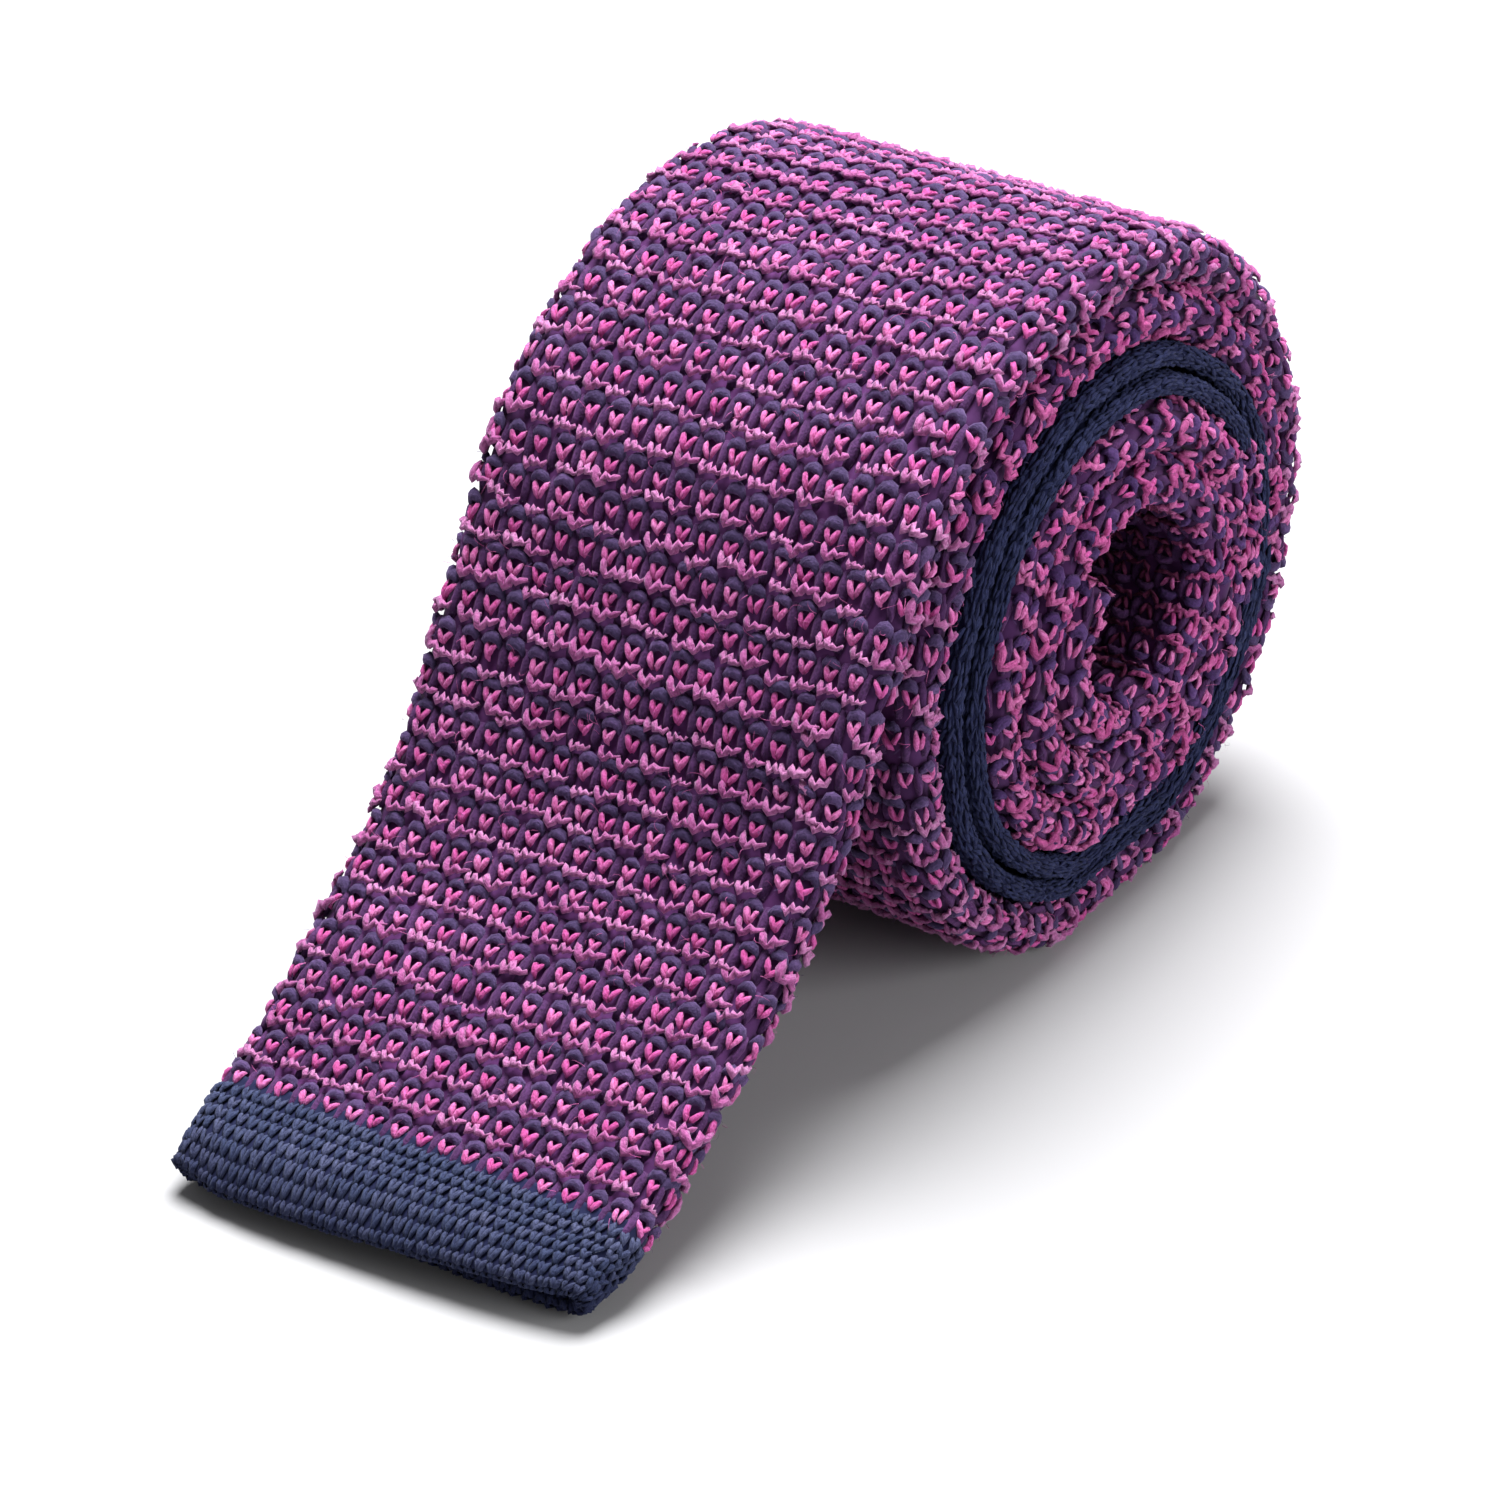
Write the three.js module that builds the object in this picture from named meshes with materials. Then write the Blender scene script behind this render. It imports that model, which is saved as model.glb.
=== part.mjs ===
// Knit tie, rolled up on its edge with the front blade let down to the surface.
// The tie is one flattened knitted tube. Its width runs along X, the roll's axis too, and its front
// blade comes down towards -Y. The roll is at +Y, and the surface that it stands on is at z = 0.
import * as THREE from "three";

// Driving dimensions, in millimetres
const tieWidth = 55;
const bladeThickness = 5.5;
const neckThickness = 2.7;
const bandThickness = 6.2;
const bladeWall = 2.3;
const neckWall = 1.1;
const bandWall = 2.2;
const bandLength = 10.5;
const rollRadius = 39.8;
const coreRadius = 7.4;
const pressedFlat = 1.5;
const letDownRun = 55.4;
const tipSlope = THREE.MathUtils.degToRad(14);
const turnGap = 0.3;
const pieceGap = 0.3;
const sideStepPerTurn = 0.75;
const bladeCrown = 0.9;

// Divisions of the winding
const facetsPerTurn = 24;
const facetAngle = (2 * Math.PI) / facetsPerTurn;
const bladeFacets = 31;
const neckFacets = 46;
const taperFacets = 5;
const hugFacets = 5;
const letDownSegments = 16;
const bandSegments = 3;

// The roll's outermost turn, clockwise from its crest as seen from +X.
// angle in degrees; outline as a share of rollRadius; climb as a share of one turn's pitch,
// which takes the winding in under the blade that leaves over the crest.
const outermostTurn = [
  { angle: 0, outline: 1.0, climb: 0 },
  { angle: 60, outline: 0.995, climb: 0 },
  { angle: 105, outline: 0.993, climb: 0 },
  { angle: 135, outline: 0.99, climb: 0 },
  { angle: 165, outline: 1.002, climb: 0 },
  { angle: 195, outline: 1.002, climb: 0 },
  { angle: 240, outline: 0.993, climb: 0 },
  { angle: 270, outline: 0.987, climb: 0.1 },
  { angle: 300, outline: 0.985, climb: 0.42 },
  { angle: 330, outline: 0.997, climb: 0.8 },
  { angle: 360, outline: 1.0, climb: 1.0 },
];

// How far the blade stands off the turn under it, facet by facet before the crest,
// as a share of bladeThickness.
const standOff = [0, 0, 0.02, 0.04, 0.1, 0.3];

// The blade's middle line from where it leaves the roll down to the tip.
// run as a share of letDownRun; height as a share of the drop.
const letDownLine = [
  { run: 0.076, height: 0.869 },
  { run: 0.159, height: 0.7 },
  { run: 0.256, height: 0.546 },
  { run: 0.373, height: 0.407 },
  { run: 0.505, height: 0.295 },
  { run: 0.693, height: 0.146 },
  { run: 0.845, height: 0.056 },
  { run: 1.0, height: 0.0 },
];

// The blade's end, from where it leaves the roll (0) over the band's border (1) to the lip (2).
// width as a share of tieWidth; skew in degrees, with the -X edge running ahead;
// bow as a share of bandLength by which the folded edges stay behind the middle.
const bladeEnd = [
  { at: 0, width: 1.0, skew: 0, bow: 0 },
  { at: 1, width: 0.965, skew: 2, bow: 0 },
  { at: 2, width: 0.918, skew: 5, bow: 0.1 },
];

// Corners of the flattened tube's section, round one folded edge, in degrees from its flat face.
const foldAngles = [40, 90, 140];

const rollCentreHeight = rollRadius - pressedFlat;

function interpolate(rows, key, at, column) {
  const next = Math.max(1, rows.findIndex((row) => row[key] >= at));
  const low = rows[next - 1];
  const high = rows[next];
  const share = (at - low[key]) / (high[key] - low[key]);
  const smooth = share * share * (3 - 2 * share);
  return low[column] + (high[column] - low[column]) * smooth;
}

// Share of the way from the blade's knit to the neck's knit at a facet of the winding.
function neckShare(facet) {
  const intoNeck = (facet - (bladeFacets - taperFacets)) / taperFacets;
  const outOfNeck = (bladeFacets + neckFacets + taperFacets - facet) / taperFacets;
  const share = Math.min(1, Math.max(0, Math.min(intoNeck, outOfNeck)));
  return share * share * (3 - 2 * share);
}

function thicknessAt(facet) {
  return bladeThickness + (neckThickness - bladeThickness) * neckShare(facet);
}

function wallAt(facet) {
  return bladeWall + (neckWall - bladeWall) * neckShare(facet);
}

// Outer radius of the first turn. It is cut off level where the roll rests on the surface.
function outermostRadius(facet) {
  const degrees = (facet * 360) / facetsPerTurn;
  const pitch = bladeThickness + turnGap;
  const outline = rollRadius * interpolate(outermostTurn, "angle", degrees, "outline");
  const climbed = pitch * interpolate(outermostTurn, "angle", degrees, "climb");
  const downwards = -Math.cos(facet * facetAngle);
  const toSurface = downwards > 0 ? rollCentreHeight / downwards : Infinity;
  return Math.min(outline - climbed, toSurface);
}

// Each later turn lies against the inside of the turn round it, until only the core is left.
function windRoll() {
  const outer = [];
  for (let facet = 0; facet < 20 * facetsPerTurn; facet += 1) {
    const around = facet - facetsPerTurn;
    const radius = around < 0 ? outermostRadius(facet) : outer[around] - thicknessAt(around) - turnGap;
    const inNeck = facet < bladeFacets + neckFacets + taperFacets;
    if (!inNeck && radius - thicknessAt(facet) < coreRadius) break;
    outer.push(radius);
  }
  return outer;
}

// One place along the tie: its middle point in the YZ plane, the direction out of its top face
// as an angle from +Y, and the section's sizes there.
function rollStation(facet, outerRadius) {
  const direction = Math.PI / 2 - facet * facetAngle;
  const thickness = thicknessAt(facet);
  const middle = outerRadius - thickness / 2;
  return {
    x: (sideStepPerTurn * Math.max(0, facet)) / facetsPerTurn,
    y: middle * Math.cos(direction),
    z: rollCentreHeight + middle * Math.sin(direction),
    direction,
    thickness,
    wall: wallAt(facet),
    crown: 0,
    width: tieWidth,
    skew: 0,
    bow: 0,
  };
}

// Direction out of the top face where the middle line runs down along (dy, dz).
function faceDirection(dy, dz) {
  return Math.atan2(-dy, dz);
}

// The blade's last stretch on the roll, over the turn under it, from the crest to where it leaves.
function huggingStations(outer) {
  const stations = [];
  for (let back = 1; back <= hugFacets; back += 1) {
    const under = outer[facetsPerTurn - back];
    const radius = under + turnGap + bladeThickness * (1 + standOff[back]);
    stations.push(rollStation(-back, radius));
  }
  stations.forEach((station, index) => {
    const before = stations[Math.max(0, index - 1)];
    const after = stations[Math.min(hugFacets - 1, index + 1)];
    const along = faceDirection(after.y - before.y, after.z - before.z);
    const leaving = index / (hugFacets - 1);
    station.direction += (along - station.direction) * leaving;
  });
  return stations;
}

// From where the blade leaves the roll down to the tip, whose last stretch is the end band.
function letDownStations(hugging) {
  const leaves = hugging[hugFacets - 1];
  const before = hugging[hugFacets - 2];
  const tipHeight = (bandThickness / 2) * Math.cos(tipSlope);
  const line = [new THREE.Vector3(0, before.y, before.z), new THREE.Vector3(0, leaves.y, leaves.z)];
  for (const { run, height } of letDownLine) {
    const z = tipHeight + height * (leaves.z - tipHeight);
    line.push(new THREE.Vector3(0, leaves.y - run * letDownRun, z));
  }
  const curve = new THREE.CatmullRomCurve3(line, false, "centripetal");
  curve.arcLengthDivisions = 400;
  const length = curve.getLength();
  const start = line[0].distanceTo(line[1]) / length;
  const border = 1 - bandLength / length;
  const shares = [];
  for (let i = 1; i <= letDownSegments; i += 1) {
    shares.push(start + ((border - start) * i) / letDownSegments);
  }
  for (let i = 1; i <= bandSegments; i += 1) {
    shares.push(border + ((1 - border) * i) / bandSegments);
  }
  return shares.map((share, index) => {
    const point = curve.getPointAt(Math.min(1, share));
    const tangent = curve.getTangentAt(Math.min(1, share));
    const inBand = Math.max(0, index + 1 - letDownSegments) / bandSegments;
    const opened = Math.min(1, (index + 1) / letDownSegments);
    const endShape = (column) => interpolate(bladeEnd, "at", opened + inBand, column);
    return {
      x: 0,
      y: point.y,
      z: point.z,
      direction: faceDirection(tangent.y, tangent.z),
      thickness: bladeThickness + (bandThickness - bladeThickness) * inBand,
      wall: bladeWall + (bandWall - bladeWall) * inBand,
      crown: bladeCrown * opened,
      width: tieWidth * endShape("width"),
      skew: THREE.MathUtils.degToRad(endShape("skew")),
      bow: bandLength * endShape("bow"),
    };
  });
}

// Closed outline of a flattened tube: two flat faces joined by two round folded edges.
function sectionOutline(thickness, crown, halfFlat) {
  const radius = thickness / 2;
  const fold = foldAngles.map((degrees) => {
    const angle = THREE.MathUtils.degToRad(degrees);
    return [halfFlat + radius * Math.sin(angle), radius * Math.cos(angle)];
  });
  const half = [[0, radius + crown], [halfFlat, radius], ...fold, [halfFlat, -radius]];
  const mirrored = half.slice(1).reverse().map(([u, v]) => [-u, v]);
  return [...half, [0, -radius], ...mirrored];
}

// The tube's outer and inner outlines at one place, as points in space.
function ringAt(station) {
  const { x, y, z, direction, thickness, wall, crown, width, skew, bow } = station;
  const halfFlat = (width - thickness) / 2;
  const place = ([u, v]) => {
    const back = u * Math.tan(skew) + bow * (2 * u / width) ** 4;
    return new THREE.Vector3(
      x + u,
      y + back + v * Math.cos(direction),
      z + v * Math.sin(direction),
    );
  };
  return {
    outer: sectionOutline(thickness, crown, halfFlat).map(place),
    inner: sectionOutline(thickness - 2 * wall, crown, halfFlat).map(place),
  };
}

// A ring moved a set distance from one ring towards the next.
function ringTowards(from, to, distance) {
  const share = distance / from.outer[0].distanceTo(to.outer[0]);
  const move = (points, ends) => points.map((point, i) => point.clone().lerp(ends[i], share));
  return { outer: move(from.outer, to.outer), inner: move(from.inner, to.inner) };
}

// The rings of one piece, drawn back by half a gap from each neighbouring piece.
function pieceRings(rings, first, last) {
  const own = rings.slice(first, last + 1);
  if (first > 0) own[0] = ringTowards(rings[first], rings[first + 1], pieceGap / 2);
  if (last < rings.length - 1) {
    own[own.length - 1] = ringTowards(rings[last], rings[last - 1], pieceGap / 2);
  }
  return own;
}

// A tube open at both ends: outer skin, inner skin and a rim at each end.
function tubeGeometry(rings) {
  const corners = rings[0].outer.length;
  const positions = [];
  for (const ring of rings) {
    for (const point of [...ring.outer, ...ring.inner]) positions.push(point.x, point.y, point.z);
  }
  const outerAt = (ring, corner) => ring * 2 * corners + (corner % corners);
  const innerAt = (ring, corner) => outerAt(ring, corner) + corners;
  const indices = [];
  const quad = (a, b, c, d) => indices.push(a, b, c, a, c, d);
  const lastRing = rings.length - 1;
  for (let i = 0; i < corners; i += 1) {
    for (let ring = 0; ring < lastRing; ring += 1) {
      quad(outerAt(ring, i), outerAt(ring, i + 1), outerAt(ring + 1, i + 1), outerAt(ring + 1, i));
      quad(innerAt(ring, i), innerAt(ring + 1, i), innerAt(ring + 1, i + 1), innerAt(ring, i + 1));
    }
    quad(outerAt(0, i), innerAt(0, i), innerAt(0, i + 1), outerAt(0, i + 1));
    quad(
      outerAt(lastRing, i),
      outerAt(lastRing, i + 1),
      innerAt(lastRing, i + 1),
      innerAt(lastRing, i),
    );
  }
  const geometry = new THREE.BufferGeometry();
  geometry.setAttribute("position", new THREE.Float32BufferAttribute(positions, 3));
  geometry.setIndex(indices);
  geometry.computeVertexNormals();
  return geometry;
}

const outerRadii = windRoll();
const hugging = huggingStations(outerRadii);
const letDown = letDownStations(hugging);
const wound = outerRadii.map((radius, facet) => rollStation(facet, radius));
const rings = [...letDown.toReversed(), ...hugging.toReversed(), ...wound].map(ringAt);

// The pieces in order from the tip, with the ring where each one ends.
const crestRing = letDown.length + hugFacets;
const pieces = [
  { name: "end_band", ends: bandSegments, colour: 0x252c49 },
  { name: "front_blade", ends: crestRing + bladeFacets, colour: 0x6a2a6b },
  { name: "neck_section", ends: crestRing + bladeFacets + neckFacets, colour: 0x1b2140 },
  { name: "tail_blade", ends: rings.length - 1, colour: 0x6a2a6b },
];

const tie = new THREE.Group();
let begins = 0;
for (const { name, ends, colour } of pieces) {
  const material = new THREE.MeshStandardMaterial({ color: colour, roughness: 0.85, metalness: 0 });
  const mesh = new THREE.Mesh(tubeGeometry(pieceRings(rings, begins, ends)), material);
  mesh.name = name;
  tie.add(mesh);
  begins = ends;
}

// The origin is at the middle of the part's underside.
const extent = new THREE.Box3().setFromObject(tie);
const middle = extent.getCenter(new THREE.Vector3());
tie.position.set(-middle.x, -middle.y, -extent.min.z);
tie.updateMatrixWorld(true);

export default tie;
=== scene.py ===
"""Dresses the rolled-up knit tie: stitches, fuzz, yarn materials, floor, light and camera.

Lengths are in metres, with +Z up, as in the frame. The tie is one flattened knitted tube. A place on it
is given by how far along the tube it is from the tip, by its share of the way round the tube from the
middle of the outer face, and by its height over the cloth's mean surface.
"""
import copy
import math

import bpy
import numpy as np
from mathutils import Matrix, Vector


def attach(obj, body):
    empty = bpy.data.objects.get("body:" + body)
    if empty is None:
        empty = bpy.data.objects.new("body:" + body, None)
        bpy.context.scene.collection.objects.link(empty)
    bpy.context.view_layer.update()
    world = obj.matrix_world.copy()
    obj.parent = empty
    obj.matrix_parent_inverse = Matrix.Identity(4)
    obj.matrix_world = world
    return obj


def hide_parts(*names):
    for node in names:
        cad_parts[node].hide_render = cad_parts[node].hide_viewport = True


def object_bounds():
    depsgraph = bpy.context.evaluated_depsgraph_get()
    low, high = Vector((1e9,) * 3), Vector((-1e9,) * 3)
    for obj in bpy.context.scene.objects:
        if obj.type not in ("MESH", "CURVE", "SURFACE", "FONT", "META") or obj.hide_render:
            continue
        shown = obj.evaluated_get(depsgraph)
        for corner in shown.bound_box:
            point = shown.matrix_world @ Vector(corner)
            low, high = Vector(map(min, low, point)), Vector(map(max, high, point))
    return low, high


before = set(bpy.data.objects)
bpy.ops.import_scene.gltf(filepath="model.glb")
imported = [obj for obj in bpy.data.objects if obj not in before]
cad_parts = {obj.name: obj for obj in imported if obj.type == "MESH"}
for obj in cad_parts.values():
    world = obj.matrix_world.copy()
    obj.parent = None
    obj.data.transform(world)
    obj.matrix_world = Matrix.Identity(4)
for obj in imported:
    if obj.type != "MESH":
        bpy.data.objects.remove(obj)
cad_low, cad_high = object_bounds()

MM = 0.001
rng = np.random.default_rng(11)

# The tie's own sizes, as in the part's source
TIE_WIDTH = 55 * MM
BLADE_THICKNESS = 5.5 * MM
NECK_THICKNESS = 2.7 * MM
BAND_THICKNESS = 6.2 * MM
BAND_WALL = 2.2 * MM
BAND_LENGTH = 10.5 * MM
ROLL_RADIUS = 39.8 * MM
CORE_RADIUS = 7.4 * MM
PRESSED_FLAT = 1.5 * MM
LET_DOWN_RUN = 55.4 * MM
TIP_SLOPE = math.radians(14)
TURN_GAP = 0.3 * MM
SIDE_STEP_PER_TURN = 0.75 * MM
BLADE_CROWN = 0.9 * MM
ROLL_CENTRE_HEIGHT = ROLL_RADIUS - PRESSED_FLAT

# The winding, in facets of a 24th of a turn, each taken in smaller steps
FACETS_PER_TURN = 24
STEPS = 10
STEPS_PER_TURN = FACETS_PER_TURN * STEPS
BLADE_FACETS = 31
NECK_FACETS = 46
TAPER_FACETS = 5
HUG_FACETS = 5

OUTERMOST_TURN = {
    "angle": [0, 60, 105, 135, 165, 195, 240, 270, 300, 330, 360],
    "outline": [1, 0.995, 0.993, 0.99, 1.002, 1.002, 0.993, 0.987, 0.985, 0.997, 1],
    "climb": [0, 0, 0, 0, 0, 0, 0, 0.1, 0.42, 0.8, 1],
}
STAND_OFF = [0, 0, 0.02, 0.04, 0.1, 0.3]
LET_DOWN_LINE = {
    "run": [0.076, 0.159, 0.256, 0.373, 0.505, 0.693, 0.845, 1.0],
    "height": [0.869, 0.7, 0.546, 0.407, 0.295, 0.146, 0.056, 0.0],
}
BLADE_END = {
    "at": [0, 1, 2],
    "width": [1, 0.965, 0.918],
    "skew": [0, 2, 5],
    "bow": [0, 0, 0.1],
}


def eased(share):
    """A share from 0 to 1, slow at both ends."""
    share = np.clip(share, 0, 1)
    return share * share * (3 - 2 * share)


def from_table(table, key, column, at):
    """A table's column at a value of its key, eased from row to row."""
    keys, values = np.array(table[key], float), np.array(table[column], float)
    row = np.clip(np.searchsorted(keys, at, side="right") - 1, 0, len(keys) - 2)
    share = eased((at - keys[row]) / (keys[row + 1] - keys[row]))
    return values[row] + (values[row + 1] - values[row]) * share


def neck_share(facet):
    """Share of the way from the blade's knit to the neck's knit at a facet of the winding."""
    into = (facet - (BLADE_FACETS - TAPER_FACETS)) / TAPER_FACETS
    out = (BLADE_FACETS + NECK_FACETS + TAPER_FACETS - facet) / TAPER_FACETS
    return eased(np.minimum(into, out))


def thickness_at(facet):
    return BLADE_THICKNESS + (NECK_THICKNESS - BLADE_THICKNESS) * neck_share(facet)


def outermost_radius(facet):
    """Outer radius of the first turn, cut off level where the roll rests."""
    degrees = facet * 360 / FACETS_PER_TURN
    outline = ROLL_RADIUS * from_table(OUTERMOST_TURN, "angle", "outline", degrees)
    climb = (BLADE_THICKNESS + TURN_GAP) * from_table(OUTERMOST_TURN, "angle", "climb", degrees)
    down = -math.cos(math.radians(degrees))
    level = ROLL_CENTRE_HEIGHT / down if down > 0 else math.inf
    return min(outline - climb, level)


def wind_roll():
    """Outer radius at each step of the winding, each turn lying inside the one round it."""
    outer = []
    in_neck = (BLADE_FACETS + NECK_FACETS + TAPER_FACETS) * STEPS
    while True:
        step = len(outer)
        facet = step / STEPS
        if step < STEPS_PER_TURN:
            radius = outermost_radius(facet)
        else:
            around = step - STEPS_PER_TURN
            radius = outer[around] - thickness_at(around / STEPS) - TURN_GAP
        if step >= in_neck and radius - thickness_at(facet) < CORE_RADIUS:
            return np.array(outer)
        outer.append(radius)


def smooth_curve(points, count):
    """Points spaced evenly along a centripetal curve through the given ones."""
    points = np.array(points, float)
    ends = np.vstack([2 * points[0] - points[1], points, 2 * points[-1] - points[-2]])
    knots = np.concatenate([[0], np.cumsum(np.linalg.norm(np.diff(ends, axis=0), axis=1) ** 0.5)])
    slopes = (ends[2:] - ends[:-2]) / (knots[2:] - knots[:-2])[:, None]
    at = np.linspace(knots[1], knots[-2], 40 * len(points))
    row = np.clip(np.searchsorted(knots[1:-1], at, side="right") - 1, 0, len(points) - 2)
    span = (knots[row + 2] - knots[row + 1])[:, None]
    share = (at - knots[row + 1])[:, None] / span
    dense = (
        points[row] * (1 + 2 * share) * (1 - share) ** 2
        + slopes[row] * span * share * (1 - share) ** 2
        + points[row + 1] * share**2 * (3 - 2 * share)
        + slopes[row + 1] * span * share**2 * (share - 1)
    )
    length = np.concatenate([[0], np.cumsum(np.linalg.norm(np.diff(dense, axis=0), axis=1))])
    even = np.linspace(0, length[-1], count)
    return np.stack([np.interp(even, length, dense[:, k]) for k in range(points.shape[1])], axis=1)


class Path:
    """The tie's middle line from the tip to the end of the tail, and its section on the way."""

    spacing = 0.25 * MM

    def __init__(self):
        outer = wind_roll()
        steps = np.arange(len(outer))
        roll = self.on_roll(steps, outer)
        back = np.arange(HUG_FACETS * STEPS, 0, -1)
        stand_off = 1 + np.interp(back / STEPS, range(len(STAND_OFF)), STAND_OFF)
        hugging = self.on_roll(-back, outer[STEPS_PER_TURN - back] + TURN_GAP + BLADE_THICKNESS * stand_off)
        let_down = self.let_down(hugging)[:-1]
        line = np.vstack([let_down, hugging, roll])
        facets = np.concatenate([np.full(len(let_down), -np.inf), -back / STEPS, steps / STEPS])
        self.measure(line, facets, len(let_down))

    @staticmethod
    def on_roll(steps, outer):
        angle = steps * 2 * math.pi / STEPS_PER_TURN
        radius = outer - thickness_at(steps / STEPS) / 2
        return np.stack([radius * np.sin(angle), ROLL_CENTRE_HEIGHT + radius * np.cos(angle)], axis=1)

    @staticmethod
    def let_down(hugging):
        """From the tip up to where the blade meets the roll."""
        leaves = hugging[0]
        tip_height = BAND_THICKNESS / 2 * math.cos(TIP_SLOPE)
        points = [hugging[STEPS], leaves]
        for run, height in zip(LET_DOWN_LINE["run"], LET_DOWN_LINE["height"]):
            z = tip_height + height * (leaves[1] - tip_height)
            points.append([leaves[0] - run * LET_DOWN_RUN, z])
        curve = smooth_curve(points, 600)
        met = np.argmin(np.linalg.norm(curve - leaves, axis=1))
        return curve[met:][::-1]

    def measure(self, line, facets, tip_points):
        """Spaces the line evenly and works out the section's sizes along it."""
        length = np.concatenate([[0], np.cumsum(np.linalg.norm(np.diff(line, axis=0), axis=1))])
        self.length = length[-1]
        self.along = np.arange(0, self.length, self.spacing)
        y, z = (np.interp(self.along, length, line[:, k]) for k in range(2))
        blur = np.hanning(17)
        blur /= blur.sum()
        pad = len(blur) // 2
        smooth = [np.convolve(np.pad(v, pad, "reflect", reflect_type="odd"), blur, "valid") for v in (y, z)]
        self.y, self.z = smooth
        slope_y, slope_z = np.gradient(self.y), np.gradient(self.z)
        size = np.hypot(slope_y, slope_z)
        self.out_y, self.out_z = -slope_z / size, slope_y / size
        self.leaves = length[tip_points]
        self.crest = length[tip_points + HUG_FACETS * STEPS]
        facet = np.interp(self.along, length[tip_points:], facets[tip_points:])
        self.facet = np.where(self.along < self.leaves, -HUG_FACETS, facet)
        in_band = np.clip(1 - self.along / BAND_LENGTH, 0, 1)
        self.thickness = thickness_at(self.facet) + (BAND_THICKNESS - BLADE_THICKNESS) * in_band
        opened = np.clip((self.leaves - self.along) / (self.leaves - BAND_LENGTH), 0, 1)
        self.crown = BLADE_CROWN * opened
        end = opened + in_band
        self.width = TIE_WIDTH * from_table(BLADE_END, "at", "width", end)
        self.skew = np.tan(np.radians(from_table(BLADE_END, "at", "skew", end)))
        self.bow = BAND_LENGTH * from_table(BLADE_END, "at", "bow", end)
        self.x = SIDE_STEP_PER_TURN * np.maximum(self.facet, 0) / FACETS_PER_TURN

    def at_facet(self, facet):
        """How far along the tie a facet of the winding is."""
        return float(np.interp(facet, self.facet[self.along > self.leaves], self.along[self.along > self.leaves]))

    def value(self, name, along):
        return np.interp(along, self.along, getattr(self, name))


path = Path()
ROLL_X = cad_low.x + TIE_WIDTH / 2
ROLL_Y = cad_high.y - outermost_radius(FACETS_PER_TURN / 4)
LIP_ROUND = BAND_WALL / 2
FLOOR_CUSHION = 0.5 * MM

# Each face of the flattened tube reaches this share of the way round to either side
FACE = 0.25

# The mouth of the band: its upper lip droops over the lower one, least at the right
DROOP = {"length": 7 * MM, "drop": 2.5 * MM, "reach": 0.9 * MM, "lower_back": 1.2 * MM, "right_share": 0.4}


def section(share, width, thickness, crown):
    """Across and out on a flattened tube at a share of the way round, and the outward direction."""
    radius = thickness / 2
    half_flat = width / 2 - radius
    girth = 4 * half_flat + 2 * math.pi * radius
    signed = ((share + 0.5) % 1 - 0.5) * girth
    far, side = np.abs(signed), np.sign(signed)
    turn = np.clip((far - half_flat) / radius, 0, math.pi)
    past = np.maximum(far - half_flat - math.pi * radius, 0)
    across = np.minimum(far, half_flat) + radius * np.sin(turn) - past
    face = 1 - np.clip(across / half_flat, 0, 1) ** 2
    out = radius * np.cos(turn) + crown * face * (turn == 0)
    return side * across, out, side * np.sin(turn), np.cos(turn)


def droop_at(reach, share, across_share):
    """How far the band's cloth sinks and moves towards the tip, near its mouth."""
    near = eased(1 - reach / DROOP["length"])
    closing = 1 - (1 - DROOP["right_share"]) * eased((across_share + 0.25) / 1.1)
    on_top = eased((np.cos(2 * math.pi * share) + 0.1) / 0.6)
    sink = DROOP["drop"] * near**2 * on_top * closing
    forward = near * closing * (DROOP["reach"] * on_top - DROOP["lower_back"] * (1 - on_top))
    return sink, forward * (1 - np.clip(np.abs(across_share), 0, 1) ** 6)


def place(along, share, height):
    """Points in the frame. Below LIP_ROUND the cloth turns over the tip's lip and back up inside."""
    past_lip = np.maximum(LIP_ROUND - along, 0)
    over = np.minimum(past_lip / LIP_ROUND, math.pi)
    inside = past_lip - over * LIP_ROUND
    reach = np.where(past_lip > 0, LIP_ROUND * (1 - np.sin(over)) + inside, along)
    sunk = LIP_ROUND * (1 - np.cos(over))
    lift = height * np.cos(over) - sunk
    ahead = height * np.sin(over)
    width, thickness = path.value("width", reach), path.value("thickness", reach)
    across, out, out_across, out_up = section(share, width, thickness, path.value("crown", reach))
    across = across + lift * out_across
    sink, forward = droop_at(reach, share, 2 * across / width)
    out = out + lift * out_up - sink
    ahead = ahead + forward
    back = across * path.value("skew", reach) + path.value("bow", reach) * (2 * across / width) ** 4
    out_y, out_z = path.value("out_y", reach), path.value("out_z", reach)
    x = ROLL_X + path.value("x", reach) + across
    y = ROLL_Y + path.value("y", reach) + out * out_y + back - ahead * out_z
    z = path.value("z", reach) + out * out_z + ahead * out_y
    low = np.minimum(z, FLOOR_CUSHION)
    pressed = FLOOR_CUSHION * np.exp((low - FLOOR_CUSHION) / FLOOR_CUSHION)
    return np.stack([x, y, np.where(z < FLOOR_CUSHION, pressed, z)], axis=-1)


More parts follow.
